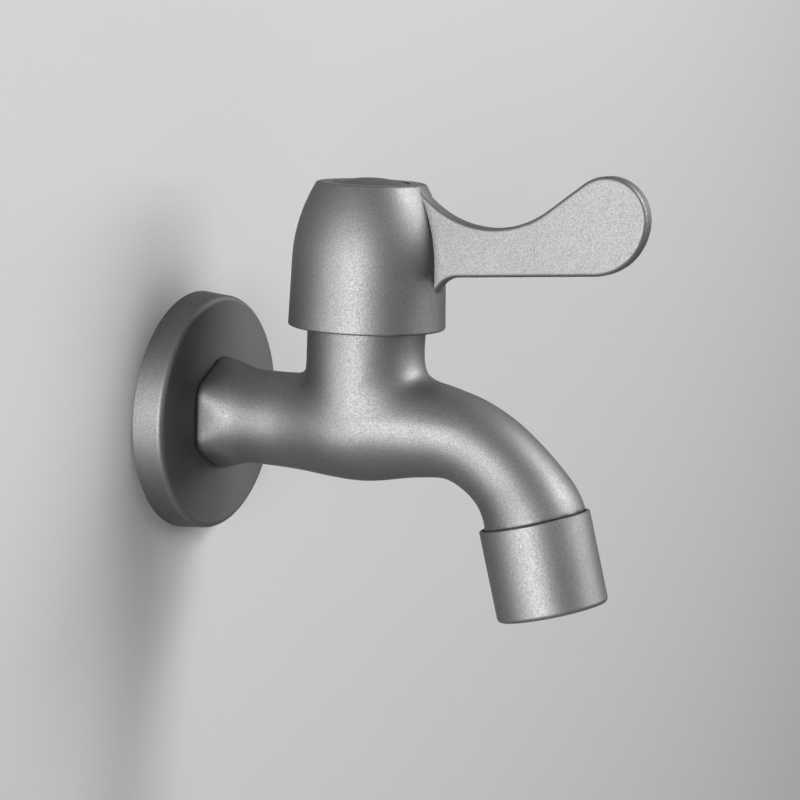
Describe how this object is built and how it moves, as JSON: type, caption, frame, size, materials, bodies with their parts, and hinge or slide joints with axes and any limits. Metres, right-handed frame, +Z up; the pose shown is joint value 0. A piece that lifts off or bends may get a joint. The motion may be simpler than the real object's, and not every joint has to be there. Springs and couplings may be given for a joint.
{
  "type": "wall-mounted basin tap",
  "caption": "Single cold tap for a wall: hexagonal inlet end with flange, curved spout with screw-on aerator, and a bell-shaped cap handle with a flat lever.",
  "frame": {"origin": "centre of the wall flange's back, on the inlet thread's axis, in the plane of the wall", "axes": "+X out of the wall towards the spout and lever, +Z up along the valve's axis, +Y to the right seen from the front"},
  "size_m": [0.124, 0.055, 0.0994],
  "materials": {
    "body_steel": "bead-blasted satin",
    "flange_steel": "bead-blasted satin",
    "handle_steel": "bead-blasted satin",
    "button_steel": "bead-blasted satin",
    "collar_steel": "bead-blasted satin",
    "screw_steel": "machined",
    "clip_steel": "spring steel",
    "mesh_steel": "woven",
    "bonnet_brass": "turned",
    "spindle_brass": "turned",
    "gasket_fibre": "matt",
    "seal_rubber": "matt",
    "o_ring_rubber": "matt",
    "washer_rubber": "matt",
    "alumina": "lapped ceramic",
    "alumina_dark": "lapped ceramic",
    "nylon": "moulded",
    "insert_plastic": "moulded"
  },
  "bodies": {
    "tap": {"tap_body": "body_steel", "wall_flange": "flange_steel", "cartridge_bonnet": "bonnet_brass", "bonnet_gasket": "gasket_fibre", "thrust_washer": "nylon", "friction_washer": "nylon", "ceramic_disc_fixed": "alumina", "disc_seal": "seal_rubber"},
    "handle": {"lever_handle": "handle_steel", "index_button": "button_steel", "handle_screw": "screw_steel", "screw_spring_washer": "screw_steel", "cartridge_spindle": "spindle_brass", "spindle_circlip": "clip_steel", "spindle_o_rings": "o_ring_rubber", "ceramic_disc_turning": "alumina_dark"},
    "aerator_insert": {"aerator_washer": "washer_rubber", "aerator_housing": "insert_plastic", "aerator_screens": "mesh_steel", "aerator_diffuser": "insert_plastic", "aerator_strainer": "insert_plastic"},
    "collar": {"aerator_collar": "collar_steel"}
  },
  "joints": [
    {"name": "handle_turn", "type": "hinge", "parent": "tap", "child": "handle", "pos_m": [0.04386, 0, 0], "axis": [0, 0, 1], "range_deg": [0, 90]},
    {"name": "aerator_travel", "type": "slide", "parent": "tap", "child": "aerator_insert", "axis": [0.2639, 0, -0.9646], "range_m": [0, 0.006]},
    {"name": "collar_turn", "type": "hinge", "parent": "aerator_insert", "child": "collar", "pos_m": [0.08653, 0, -0.01615], "axis": [0.2639, 0, -0.9646], "range_deg": [0, 2160]}
  ],
  "couplings": [
    {"joint": "aerator_travel", "follows": "collar_turn", "m_per_rad": 0.00015915}
  ]
}
